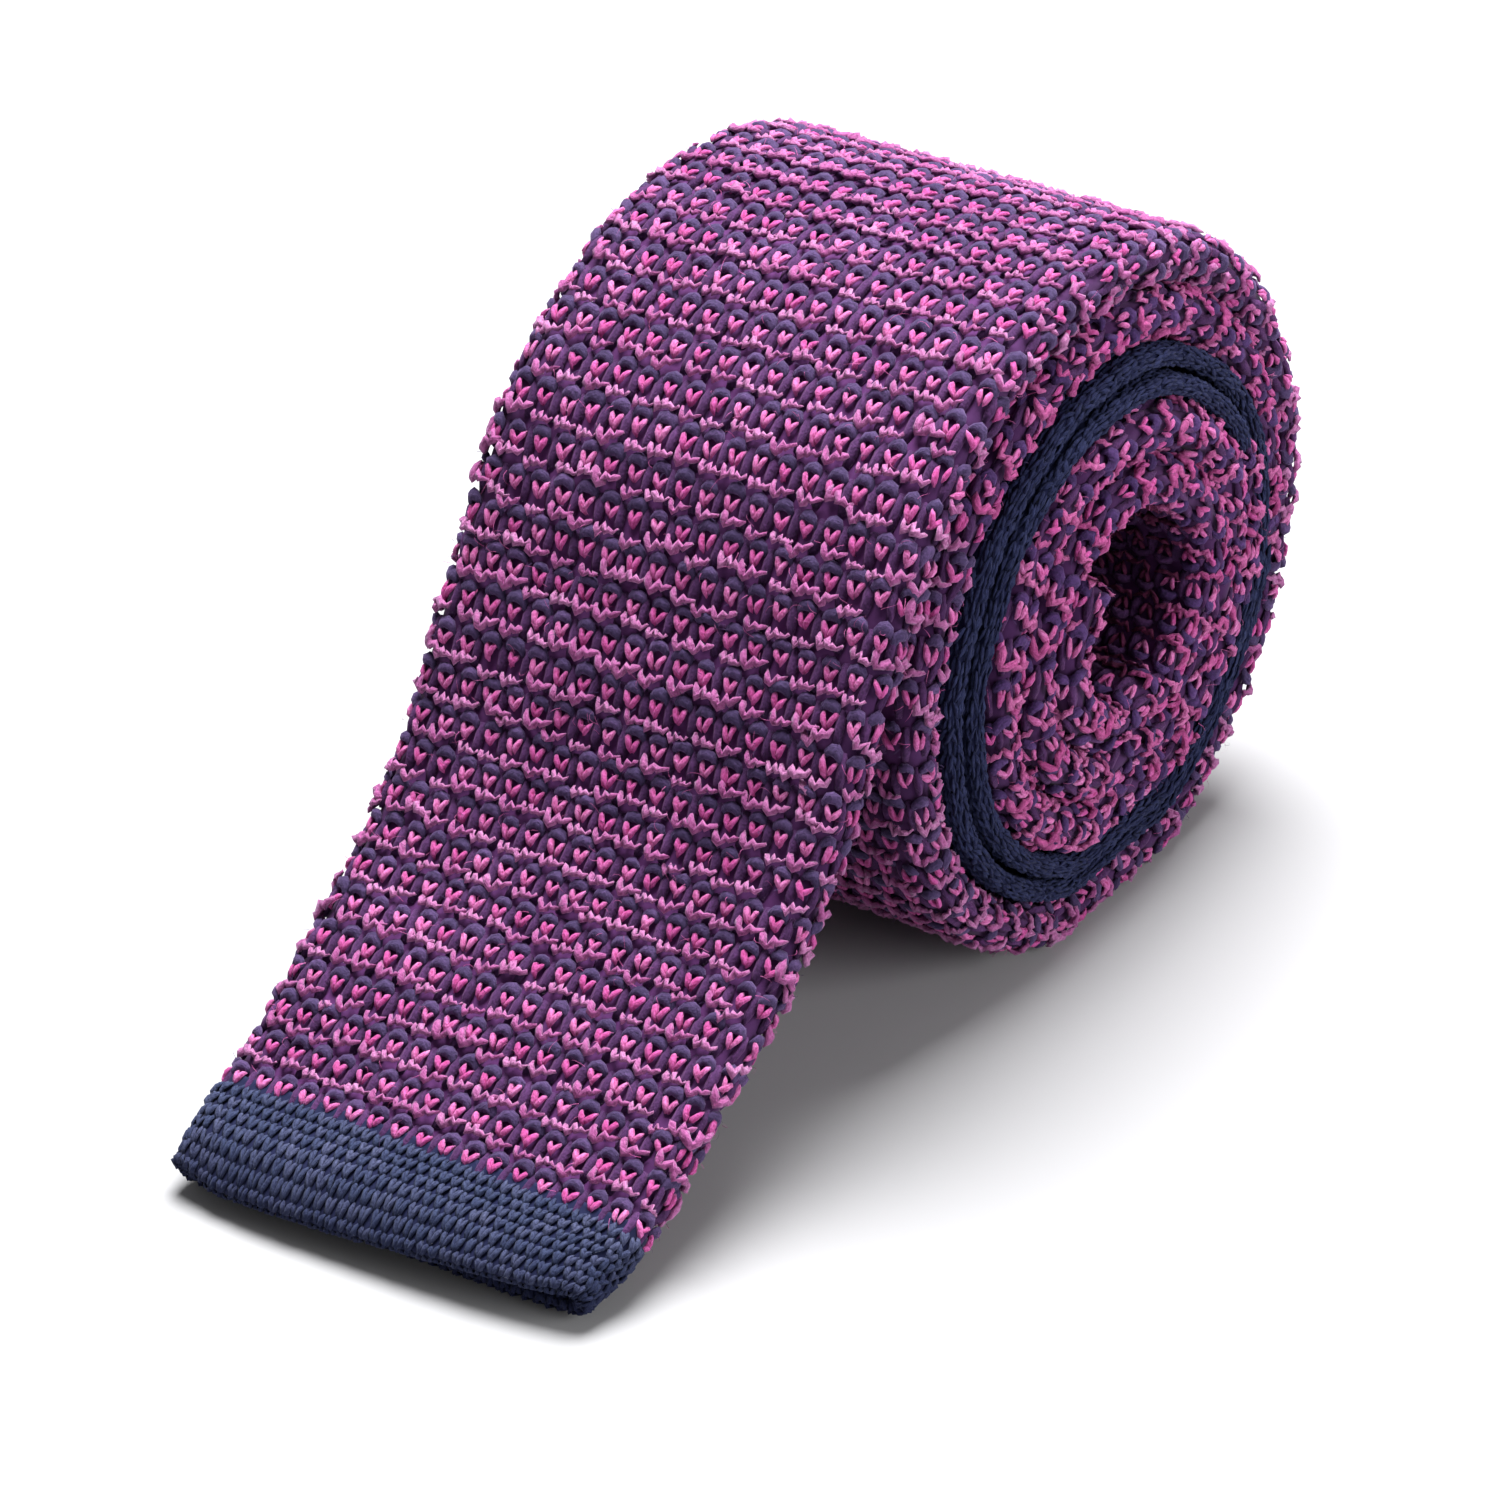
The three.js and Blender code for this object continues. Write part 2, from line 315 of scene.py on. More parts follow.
class Build:
    """Points and faces gathered for one mesh, with each corner's place on the yarn and each point's tone: random
    chances and the strand's share for stitches, and for cloth the fold mask of its painted shade.
    """

    def __init__(self):
        self.points, self.faces, self.yarn, self.tone, self.count = [], [], [], [], 0

    def add(self, points, faces, yarn, tone):
        """faces is a list of index arrays, one for each number of corners, with yarn's to match."""
        self.points.append(points.reshape(-1, 3))
        self.tone.append(tone.reshape(-1, 3))
        self.faces += [f + self.count for f in faces]
        self.yarn += yarn
        self.count += points.size // 3

    def triangles(self):
        return sum(f.shape[0] * (f.shape[1] - 2) for f in self.faces)

    def mesh(self, name):
        corners = np.concatenate([f.ravel() for f in self.faces])
        sizes = np.concatenate([np.full(len(f), f.shape[1]) for f in self.faces])
        starts = np.concatenate([[0], np.cumsum(sizes)[:-1]])
        mesh = bpy.data.meshes.new(name)
        mesh.vertices.add(self.count)
        mesh.vertices.foreach_set("co", np.concatenate(self.points).astype(np.float32).ravel())
        mesh.loops.add(len(corners))
        mesh.loops.foreach_set("vertex_index", corners.astype(np.int32))
        mesh.polygons.add(len(sizes))
        mesh.polygons.foreach_set("loop_start", starts.astype(np.int32))
        mesh.polygons.foreach_set("use_smooth", np.ones(len(sizes), bool))
        uv = mesh.uv_layers.new(name="yarn")
        uv.data.foreach_set("uv", np.concatenate([y.reshape(-1, 2) for y in self.yarn]).astype(np.float32).ravel())
        tone = mesh.attributes.new("tone", "FLOAT_VECTOR", "POINT")
        tone.data.foreach_set("vector", np.concatenate(self.tone).astype(np.float32).ravel())
        mesh.update()
        mesh.validate()
        return mesh


class Strand:
    """A short length of yarn as a closed tube, to be laid at many stitches.

    line has a row for each point of its middle: across, down towards the tip, height and radius, in mm.
    """

    def __init__(self, line, rings, sides, flat=1.0, lumps=0.04):
        self.lumps = lumps * MM
        fine = smooth_curve(line, rings) * MM
        middle, radius = fine[:, :3], fine[:, 3]
        heading = np.gradient(middle, axis=0)
        heading /= np.linalg.norm(heading, axis=1)[:, None]
        side = np.cross(heading, [0, 0, 1])
        side /= np.linalg.norm(side, axis=1)[:, None]
        top = np.cross(side, heading)
        angle = np.arange(sides) * 2 * math.pi / sides
        ring = (
            side[:, None] * np.cos(angle)[None, :, None]
            + flat * top[:, None] * np.sin(angle)[None, :, None]
        )
        self.points = (middle[:, None] + radius[:, None, None] * ring).reshape(-1, 3)
        step = np.concatenate([[0], np.cumsum(np.linalg.norm(np.diff(middle, axis=0), axis=1))]) / MM
        i, j = np.meshgrid(np.arange(rings - 1), np.arange(sides), indexing="ij")
        i, j = i.ravel(), j.ravel()
        following = (j + 1) % sides
        this_ring, next_ring = i * sides, (i + 1) * sides
        quads = np.stack([this_ring + j, this_ring + following, next_ring + following, next_ring + j], 1)
        first = np.arange(sides)[::-1]
        last = (rings - 1) * sides + np.arange(sides)
        self.faces = [quads, np.stack([first, last])]
        near, far = step[i], step[i + 1]
        left, right = j / sides, (j + 1) / sides
        quad_yarn = np.stack([near, left, near, right, far, right, far, left], 1).reshape(-1, 4, 2)
        cap_yarn = np.zeros((2, sides, 2))
        cap_yarn[1, :, 0] = step[-1]
        self.yarn = [quad_yarn, cap_yarn]
        self.share = np.repeat(step / step[-1], sides)

    def lay(self, build, cells, pitch, wobble):
        """Adds a copy at each cell, each a little different in size, lean and place."""
        count = len(cells.along)
        size = 1 + rng.normal(0, 0.07 * wobble, (count, 1))
        lean = rng.normal(0, 0.07 * wobble, (count, 1)) * (1 + 4 * cells.on_fold[:, None])
        shift = rng.normal(0, 0.1 * MM * wobble, (3, count, 1)) * (1 + cells.on_fold[:, None])
        across, down, height = (self.points[None, :, k] * size for k in range(3))
        across, down = across - down * lean + shift[0], down + across * lean + shift[1]
        height = height + 0.5 * shift[2]
        share = cells.share[:, None] + across / (pitch * cells.columns)
        points = place(cells.along[:, None] - down, share, height)
        points = points + rng.normal(0, self.lumps, points.shape) * (points[..., 2:] > FLOOR_CUSHION)
        start = (np.arange(count) * self.points.shape[0])[:, None, None]
        faces = [(f[None] + start).reshape(-1, f.shape[1]) for f in self.faces]
        offset = rng.random((count, 1, 1, 2)) * [40, 1]
        yarn = [y[None] + offset for y in self.yarn]
        tone = np.stack(
            [
                np.broadcast_to(cells.chance[:, None], share.shape),
                np.broadcast_to(self.share[None], share.shape),
                np.broadcast_to(rng.random((count, 1)), share.shape),
            ],
            axis=-1,
        )
        build.add(points, faces, yarn, tone)


def on_fold(share):
    """1 along both folded edges of the tube, down to 0 on its faces."""
    return np.clip(1 - np.abs(np.abs((share + 0.5) % 1 - 0.5) - FACE) / 0.06, 0, 1)


class Cells:
    """Stitches in rows along the tie and columns round it, every other row set over by half a column."""

    def __init__(self, first, last, row_pitch, columns, shown, stagger=0.5, phase=0.0):
        rows = np.arange(math.ceil((first - phase) / row_pitch), math.ceil((last - phase) / row_pitch))
        row, column = (g.ravel() for g in np.meshgrid(rows, np.arange(columns), indexing="ij"))
        share = (column + stagger * (row % 2)) / columns
        share = (share + 0.5) % 1 - 0.5
        along = row * row_pitch + phase
        keep = shown(along, share)
        self.along, self.share, self.columns = along[keep], share[keep], columns
        self.chance = rng.random(len(self.along))
        self.on_fold = on_fold(self.share)

    def some(self, keep):
        part = copy.copy(self)
        part.along, part.share, part.chance, part.on_fold = (
            values[keep] for values in (self.along, self.share, self.chance, self.on_fold)
        )
        return part


def girth_at(along):
    width, thickness = path.value("width", along), path.value("thickness", along)
    return 2 * (width - thickness) + math.pi * thickness


# The patterned knit's stitch: rows of across, down towards the tip, height and radius, in mm
COLUMNS = 38
ROW_PITCH = 4.38 * MM
COLUMN_PITCH = girth_at(path.crest) / COLUMNS
LEFT_LEG = [
    (-0.84, -0.94, -0.5, 0.08),
    (-0.72, -0.5, -0.28, 0.3),
    (-0.46, 0.1, -0.16, 0.37),
    (-0.2, 0.6, -0.24, 0.32),
    (-0.02, 1.0, -0.52, 0.1),
]
RIGHT_LEG = [
    (0.66, -0.84, -0.5, 0.08),
    (0.54, -0.46, -0.28, 0.29),
    (0.32, 0.1, -0.16, 0.35),
    (0.13, 0.58, -0.26, 0.3),
    (0.02, 0.96, -0.52, 0.1),
]
HOOD = [
    (-1.16, -0.5, -0.72, 0.28),
    (-1.0, -0.98, -0.44, 0.46),
    (-0.62, -1.36, -0.3, 0.6),
    (-0.16, -1.46, -0.25, 0.65),
    (0.3, -1.32, -0.3, 0.6),
    (0.64, -0.94, -0.44, 0.44),
    (0.84, -0.4, -0.72, 0.26),
]
RIB = [
    (1.2, -1.35, -0.78, 0.46),
    (1.38, -0.4, -0.56, 0.66),
    (1.46, 0.9, -0.56, 0.68),
    (1.42, 2.3, -0.82, 0.48),
]
CROWNS = [
    [
        (-2.6, -3.5, -0.3, 0.16),
        (-2.36, -2.9, 0, 0.41),
        (-1.98, -2.24, 0.1, 0.43),
        (-1.52, -1.92, -0.04, 0.37),
        (-1.2, -2.36, 0.12, 0.41),
        (-0.86, -2.94, 0.16, 0.43),
        (-0.48, -2.46, 0, 0.31),
        (-0.22, -2.76, 0.12, 0.34),
        (0.4, -3.1, -0.08, 0.16),
    ],
    [
        (-2.5, -3.1, -0.34, 0.19),
        (-2.2, -2.5, 0.02, 0.39),
        (-1.86, -2.02, 0.08, 0.42),
        (-1.52, -2.5, -0.06, 0.31),
        (-1.3, -2.98, 0.14, 0.38),
        (-1, -2.3, 0.06, 0.35),
        (-0.6, -2.66, 0.14, 0.39),
        (-0.3, -2.34, -0.02, 0.3),
        (0.34, -2.9, -0.1, 0.18),
    ],
]
FINE_LEFT = [
    (-0.5, -0.92, -0.46, 0.15),
    (-0.37, -0.3, -0.12, 0.33),
    (-0.16, 0.42, -0.1, 0.35),
    (0.0, 1.16, -0.42, 0.15),
]
FINE_RIGHT = [(-across, down, height, radius) for across, down, height, radius in FINE_LEFT]

# How far each knit is shown. Past COVERED the turns outside hide its faces, and only the edges show.
BORDER = BAND_LENGTH
COVERED = path.at_facet(20.5)
NECK_START = path.at_facet(BLADE_FACETS)
NECK_END = path.at_facet(BLADE_FACETS + NECK_FACETS)
LAST_TURN = path.at_facet(path.facet[-1] - FACETS_PER_TURN * 0.9)
EDGE = 0.055


def shown_in_front(along, share):
    """The outer face and both folded edges."""
    return np.abs(share) < FACE + EDGE


def shown_behind(along, share):
    """The inner face of the let-down blade, between the folded edges."""
    return np.abs(share) >= FACE + EDGE


def shown_at_edges(along, share):
    """The folded edges alone."""
    return np.abs(np.abs(share) - FACE) < EDGE


def shown_in_core(along, share):
    """The inner face of the last turn, in the roll's open core."""
    return (along > LAST_TURN) & (np.abs(share) >= FACE + EDGE)


def shown_outside(along, share):
    """The outer face between the folded edges."""
    return np.abs(share) <= FACE - EDGE


FULL = {"leg": (5, 5), "hood": (7, 6), "rib": (4, 4), "crown": (9, 4)}
PLAIN = {"leg": (4, 4), "hood": (5, 4), "rib": (3, 4), "crown": (6, 3)}
SKIN_DEPTH = 0.86 * MM


def grid_skin(build, along, share, height):
    """Adds the cloth's surface through rows of places along the tie, closed round it and at both ends."""
    rows, columns = len(along), len(share)
    grid_along, grid_share = np.meshgrid(along, share, indexing="ij")
    points = place(grid_along, grid_share, height(grid_along, grid_share))
    i, j = (g.ravel() for g in np.meshgrid(np.arange(rows - 1), np.arange(columns), indexing="ij"))
    right = (j + 1) % columns
    this_row, next_row = i * columns, (i + 1) * columns
    quads = np.stack([this_row + j, this_row + right, next_row + right, next_row + j], 1)
    ends = np.stack([np.arange(columns)[::-1], (rows - 1) * columns + np.arange(columns)])
    along_mm = np.repeat(along / MM, columns)
    quad_yarn = np.stack([along_mm[quads], share[quads % columns] * columns], axis=-1)
    tone = np.full(points.shape, 0.5)
    # the fold mask, read by the cloth's painted shade along the folded edges
    tone[..., 0] = on_fold(grid_share)
    build.add(points, [quads, ends], [quad_yarn, np.zeros((2, columns, 2))], tone)


def evenly(first, last, step):
    return np.linspace(first, last, max(2, math.ceil((last - first) / step) + 1))


def plain_depth(along, share):
    return np.full(along.shape, -SKIN_DEPTH)


# Materials


def linear(red, green, blue):
    """A colour given as it shows on a screen, from 0 to 255, as the shader takes it."""
    shown = np.array([red, green, blue]) / 255
    return (*np.where(shown <= 0.04045, shown / 12.92, ((shown + 0.055) / 1.055) ** 2.4), 1.0)


class Signal:
    """A node's output, with the arithmetic that adds Math nodes."""

    def __init__(self, finish, output):
        self.finish, self.output = finish, output

    def maths(self, operation, *others, clamp=False):
        settings = {"operation": operation, "use_clamp": clamp}
        return self.finish.node("ShaderNodeMath", settings, dict(enumerate(others)))

    def __add__(self, other):
        return self.maths("ADD", self, other)

    def __sub__(self, other):
        return self.maths("SUBTRACT", self, other)

    def __mul__(self, other):
        return self.maths("MULTIPLY", self, other)

    def __rsub__(self, other):
        return self.maths("SUBTRACT", other, self)

    __radd__ = __add__
    __rmul__ = __mul__

    def clamped(self):
        return self.maths("ADD", self, 0.0, clamp=True)

    def wave(self):
        """From 0 to 1 and back, once for each whole step of the value."""
        return 0.5 + 0.5 * self.maths("SINE", self * (2 * math.pi))


class Finish:
    """One material: its nodes, and the surface that they feed."""

    def __init__(self, name):
        self.material = bpy.data.materials.new(name)
        self.material.use_nodes = True
        self.tree = self.material.node_tree
        self.tree.nodes.clear()

    def node(self, kind, settings=None, sockets=None, output=0):
        node = self.tree.nodes.new(kind)
        for name, value in (settings or {}).items():
            if name == "stops":
                for stop, (place_on_ramp, colour) in zip(self.stops(node, len(value)), value):
                    stop.position, stop.color = place_on_ramp, colour
            else:
                setattr(node, name, value)
        for name, value in (sockets or {}).items():
            if isinstance(value, Signal):
                self.tree.links.new(value.output, node.inputs[name])
            else:
                node.inputs[name].default_value = value
        return Signal(self, node.outputs[output])

    @staticmethod
    def stops(node, count):
        while len(node.color_ramp.elements) < count:
            node.color_ramp.elements.new(0.5)
        return node.color_ramp.elements

    def parts(self, vector):
        node = self.node("ShaderNodeSeparateXYZ", {}, {0: vector}).output.node
        return [Signal(self, output) for output in node.outputs]

    def mix(self, share, low, high):
        """A colour between two, by a share."""
        settings = {"data_type": "RGBA", "clamp_factor": True}
        return self.node("ShaderNodeMix", settings, {0: share, 6: low, 7: high}, 2)

    def noise(self, vector, scale, detail=2.0, roughness=0.5):
        sockets = {"Vector": vector, "Scale": scale, "Detail": detail, "Roughness": roughness}
        return self.node("ShaderNodeTexNoise", {}, sockets)

    def vector(self, x, y, z=0.0):
        return self.node("ShaderNodeCombineXYZ", {}, {0: x, 1: y, 2: z})

    def bump(self, height, distance, strength=1.0):
        sockets = {"Height": height, "Distance": distance, "Strength": strength}
        return self.node("ShaderNodeBump", {}, sockets)

    def surface(self, sockets):
        shader = self.node("ShaderNodeBsdfPrincipled", {}, sockets)
        ending = self.tree.nodes.new("ShaderNodeOutputMaterial")
        self.tree.links.new(shader.output, ending.inputs["Surface"])
        return self.material


def yarn_places(finish):
    """Along and round the yarn, in mm and turns, and the stitch's chance, share and second chance."""
    yarn = finish.node("ShaderNodeUVMap", {"uv_map": "yarn"})
    along, round_it, _ = finish.parts(yarn)
    tone = finish.node("ShaderNodeAttribute", {"attribute_name": "tone"}, output=1)
    return along, round_it, *finish.parts(tone)


def yarn_finish(name, deep, usual, bright, ply_turns, fibre, sheen, strand_end_highlight=0.0, painted_shade_below=None):
    """Twisted, slightly fuzzy yarn. The colour runs from deep to bright: partly painted shade, deep in the grooves
    between the plies and filaments, and partly the yarn's own paler lint and random mottling.

    One option adds a painted highlight, paler towards the strand's first end. Another adds painted shade, back to
    deep under a given height, where little light comes.
    """
    finish = Finish(name)
    along, round_it, chance, share, second = yarn_places(finish)
    ply = (round_it * 2 + along * ply_turns).wave()
    on_object = finish.node("ShaderNodeTexCoord", {}, output=3)
    filaments = finish.noise(finish.vector(round_it * 5, along * 0.9 + round_it * 1.2, second * 9), 2.4, 3.0, 0.6)
    filaments = (filaments * 2.6 - 0.8).clamped()
    lint = (finish.noise(on_object, 3600.0, 2.0, 0.6) * 2.4 - 0.7).clamped()
    blotch = finish.noise(on_object, 120.0, 2.0, 0.5)
    # partly painted shade: lift keeps the deep colour in the grooves between plies and filaments; the lint in it is
    # the yarn's own paler fibres
    lift = (filaments * 0.55 + ply * 0.2 + lint * 0.45 - 0.1).clamped()
    base = finish.mix(lift, deep, usual)
    pale = (chance * 0.5 + blotch * 0.6 - 0.42).clamped()
    # painted highlight: paler towards the strand's first end, the upper tips of the V stitches
    if strand_end_highlight:
        pale = (pale + (0.3 - share).clamped() * strand_end_highlight).clamped()
    colour = finish.mix(pale * lift, base, bright)
    # painted shade: back to the deep colour towards the floor
    if painted_shade_below:
        up = finish.parts(on_object)[2]
        colour = finish.mix((up * (1 / painted_shade_below) - 0.25).clamped(), deep, colour)
    height = filaments * 0.4 + ply * 0.4 + lint * 0.35
    return finish.surface(
        {
            "Base Color": colour,
            "Roughness": 0.86 + 0.1 * lint,
            "Specular IOR Level": 0.25,
            "Sheen Weight": sheen,
            "Sheen Roughness": 0.45,
            "Sheen Tint": fibre,
            "Normal": finish.bump(height, 0.17 * MM, 0.9),
        }
    )


def cloth_finish(name, deep, usual, folded, grain, relief, sheen=0.1):
    """Plain cloth seen between or beside the stitches, matted by fine fibres, with painted shade darkening it along
    the folded edges.
    """
    finish = Finish(name)
    fold = finish.parts(finish.node("ShaderNodeAttribute", {"attribute_name": "tone"}, output=1))[0]
    place_on_object = finish.node("ShaderNodeTexCoord", {}, output=3)
    lint = finish.noise(place_on_object, grain, 4.0, 0.65)
    blotch = finish.noise(place_on_object, grain / 9, 2.0, 0.5)
    colour = finish.mix((lint * 0.8 + blotch * 0.6 - 0.2).clamped(), deep, usual)
    # painted shade: mixes towards the folded colour along the tube's folded edges
    colour = finish.mix((fold * 1.6).clamped() * 0.85, colour, folded)
    return finish.surface(
        {
            "Base Color": colour,
            "Roughness": 0.9 + 0.08 * lint,
            "Specular IOR Level": 0.2,
            "Sheen Weight": sheen,
            "Sheen Roughness": 0.5,
            "Normal": finish.bump(lint * 0.7 + blotch * 0.3, relief, 0.8),
        }
    )


rib_yarn = yarn_finish(
    "violet_yarn",
    deep=linear(46, 21, 56),
    usual=linear(75, 41, 88),
    bright=linear(110, 64, 122),
    ply_turns=0.32,
    fibre=linear(190, 130, 200),
    sheen=0.22,
)
hood_yarn = yarn_finish(
    "navy_violet_yarn",
    deep=linear(42, 30, 62),
    usual=linear(74, 58, 98),
    bright=linear(112, 80, 134),
    ply_turns=0.32,
    fibre=linear(180, 150, 205),
    sheen=0.3,
)
pink_yarn = yarn_finish(
    "pink_yarn",
    deep=linear(148, 36, 96),
    usual=linear(204, 94, 170),
    bright=linear(242, 178, 226),
    ply_turns=0.3,
    fibre=linear(240, 200, 240),
    sheen=0.15,
    strand_end_highlight=1.6,
)
mauve_yarn = yarn_finish(
    "mauve_yarn",
    deep=linear(112, 42, 94),
    usual=linear(182, 98, 158),
    bright=linear(228, 174, 218),
    ply_turns=0.3,
    fibre=linear(240, 215, 250),
    sheen=0.3,
)
band_yarn = yarn_finish(
    "navy_yarn",
    deep=linear(18, 23, 56),
    usual=linear(66, 76, 109),
    bright=linear(114, 113, 145),
    ply_turns=0.5,
    fibre=linear(150, 160, 195),
    sheen=0.1,
    # painted shade: darker below 6 mm, towards the band's lip
    painted_shade_below=6 * MM,
)
# painted shade: the pink and mauve yarns darkened to wine for the roll's open core and the tail's end inside it
shaded_wine_yarn = yarn_finish(
    "shaded_wine_yarn",
    deep=linear(54, 14, 42),
    usual=linear(108, 36, 76),
    bright=linear(146, 68, 112),
    ply_turns=0.3,
    fibre=linear(170, 100, 150),
    sheen=0.1,
)
# painted shade: copies of the hood and loop yarns, darker and more saturated, for the roll's folded edges and the
# tail
shaded_side_hood_yarn = yarn_finish(
    "shaded_side_navy_violet_yarn",
    deep=linear(38, 22, 58),
    usual=linear(74, 48, 102),
    bright=linear(106, 70, 132),
    ply_turns=0.32,
    fibre=linear(170, 130, 195),
    sheen=0.2,
)
shaded_side_rose_yarn = yarn_finish(
    "shaded_side_rose_yarn",
    deep=linear(116, 34, 86),
    usual=linear(198, 88, 154),
    bright=linear(232, 156, 208),
    ply_turns=0.3,
    fibre=linear(235, 190, 225),
    sheen=0.15,
)
under_cloth = cloth_finish(
    "shaded_cloth", linear(66, 29, 76), linear(102, 52, 112), linear(58, 27, 70), 900.0, 0.1 * MM
)
band_cloth = cloth_finish("navy_ground", linear(10, 14, 44), linear(26, 32, 70), linear(14, 18, 50), 900.0, 0.1 * MM)
neck_cloth = cloth_finish(
    "navy_felted_ground", linear(9, 11, 34), linear(22, 26, 60), linear(20, 24, 56), 1500.0, 0.12 * MM, 0.0
)
neck_yarn = yarn_finish(
    "navy_felted_yarn",
    deep=linear(16, 19, 50),
    usual=linear(38, 44, 82),
    bright=linear(58, 66, 108),
    ply_turns=0.4,
    fibre=linear(110, 120, 170),
    sheen=0.05,
)


made = {"front_blade": [], "tail_blade": [], "end_band": [], "neck_section": []}


def piece(name, build, finish, node):
    """Makes one piece of the scene that stands for a CAD node."""
    item = bpy.data.objects.new(name, build.mesh(name))
    bpy.context.scene.collection.objects.link(item)
    item.data.materials.append(finish)
    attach(item, "root")
    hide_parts(node)
    made[node].append(item)
    print(f"{name}: {build.triangles()} triangles")
    return build.triangles()


LIT = {"rib": rib_yarn, "hood": hood_yarn, "v": pink_yarn, "loop": mauve_yarn}
# painted shade on the roll's sides: the darker hood and rose copies
SIDE_SHADED = {"rib": rib_yarn, "hood": shaded_side_hood_yarn, "v": pink_yarn, "loop": shaded_side_rose_yarn}
# painted shade in the roll's core: wine-dark V stitches and loops, and violet hoods
SHADED = {"rib": rib_yarn, "hood": rib_yarn, "v": shaded_wine_yarn, "loop": shaded_wine_yarn}


def patterned_piece(label, node, cells, detail, yarns):
    """The patterned stitch over some cells, as one mesh for each yarn."""
    total = 0
    ribs = Build()
    Strand(RIB, *detail["rib"], flat=0.7).lay(ribs, cells, COLUMN_PITCH, 0.7)
    total += piece(f"{label}_ribs", ribs, yarns["rib"], node)
    hoods = Build()
    Strand(HOOD, *detail["hood"], flat=0.75).lay(hoods, cells, COLUMN_PITCH, 1)
    total += piece(f"{label}_hoods", hoods, yarns["hood"], node)
    pink = Build()
    for leg in (LEFT_LEG, RIGHT_LEG):
        Strand(leg, *detail["leg"], flat=0.85).lay(pink, cells, COLUMN_PITCH, 1)
    total += piece(f"{label}_v_stitches", pink, yarns["v"], node)
    mauve = Build()
    seen = (cells.on_fold < 0.3) | (rng.random(len(cells.along)) < 0.85)
    for number, crown in enumerate(CROWNS):
        chosen = cells.some(seen & (np.floor(cells.chance * len(CROWNS)) == number))
        Strand(crown, *detail["crown"], lumps=0.07).lay(mauve, chosen, COLUMN_PITCH, 1.3)
    total += piece(f"{label}_loops", mauve, yarns["loop"], node)
    return total


def loose_fibres(label, node, cells, finish, per_stitch):
    """Thin fibres that stand off the yarn and curl back, as flat ribbons."""
    count = int(per_stitch * len(cells.along))
    chosen = rng.integers(0, len(cells.along), count)
    step = np.linspace(0, 1, 5)[None]
    length = rng.uniform(0.8, 2.6, (count, 1)) * MM
    heading = rng.uniform(0, 2 * math.pi, (count, 1)) + rng.normal(0, 1.3, (count, 1)) * step
    across = rng.uniform(-1.4, 1.4, (count, 1)) * MM + np.cumsum(np.cos(heading), 1) * length / 5
    down = rng.uniform(-1.8, 1.8, (count, 1)) * MM + np.cumsum(np.sin(heading), 1) * length / 5
    height = (0.12 + rng.uniform(0.2, 0.75, (count, 1)) * np.sin(step * math.pi) ** 0.8) * MM
    width = 0.024 * MM * (1.15 - step)
    sides = []
    for side in (-1, 1):
        share = cells.share[chosen, None] + (across - side * width * np.sin(heading)) / (COLUMN_PITCH * cells.columns)
        sides.append(place(cells.along[chosen, None] - down - side * width * np.cos(heading), share, height))
    points = np.stack(sides, axis=2)
    start = np.arange(count)[:, None] * 10
    i = np.arange(4)[None] * 2
    quads = np.stack([start + i, start + i + 1, start + i + 3, start + i + 2], axis=-1).reshape(-1, 4)
    fibres = Build()
    fibres.add(points, [quads], [np.zeros((len(quads), 4, 2))], np.full(points.shape, 0.8))
    return piece(label, fibres, finish, node)


def patterned_cells(first, last, shown):
    return Cells(first, last, ROW_PITCH, COLUMNS, shown, phase=BORDER + 0.22 * ROW_PITCH)


def make_patterned_knit():
    """All the stitches of the front blade and the tail, and the cloth under them."""
    half_way = path.at_facet(10.5)
    regions = [
        ("let_down", "front_blade", BORDER, path.crest, shown_in_front, FULL, LIT),
        ("underside", "front_blade", BORDER, path.leaves, shown_behind, PLAIN, LIT),
        ("roll_back", "front_blade", path.crest, half_way, shown_in_front, FULL, LIT),
        ("roll_front", "front_blade", half_way, COVERED, shown_in_front, FULL, LIT),
        ("roll_edges", "front_blade", COVERED, NECK_START, shown_at_edges, FULL, SIDE_SHADED),
        ("tail", "tail_blade", NECK_END - 1 * MM, path.length - 1.5 * MM, shown_at_edges, FULL, SIDE_SHADED),
        ("core", "tail_blade", LAST_TURN, path.length - 1.5 * MM, shown_in_core, PLAIN, SHADED),
        ("tail_end", "tail_blade", path.length - 14 * MM, path.length - 1 * MM, shown_outside, PLAIN, SHADED),
    ]
    total = 0
    for label, node, first, last, shown, detail, yarns in regions:
        cells = patterned_cells(first, last, shown)
        total += patterned_piece(label, node, cells, detail, yarns)
        if detail is FULL:
            total += loose_fibres(f"{label}_pink_fibres", node, cells, pink_yarn, 0.7)
            total += loose_fibres(f"{label}_violet_fibres", node, cells, hood_yarn, 0.7)
    face = np.linspace(-0.2, 0.2, 15)
    edge = np.linspace(-0.035, 0.035, 7)
    share = np.concatenate([face, FACE + edge, 2 * FACE + face, 3 * FACE + edge])
    for label, node, first, last in (
        ("front_blade_cloth", "front_blade", BORDER - 1 * MM, NECK_START),
        ("tail_blade_cloth", "tail_blade", NECK_END, path.length - 0.5 * MM),
    ):
        cloth = Build()
        grid_skin(cloth, evenly(first, last, 1.7 * MM), share, plain_depth)
        total += piece(label, cloth, under_cloth, node)
    return total


BAND_COLUMNS = 79
BAND_ROW_PITCH = 1.53 * MM
BAND_INSIDE = 6 * MM
BAND_CLOTH_DEPTH = 0.36 * MM
BAND_HEM_END = LIP_ROUND - math.pi * LIP_ROUND - BAND_INSIDE


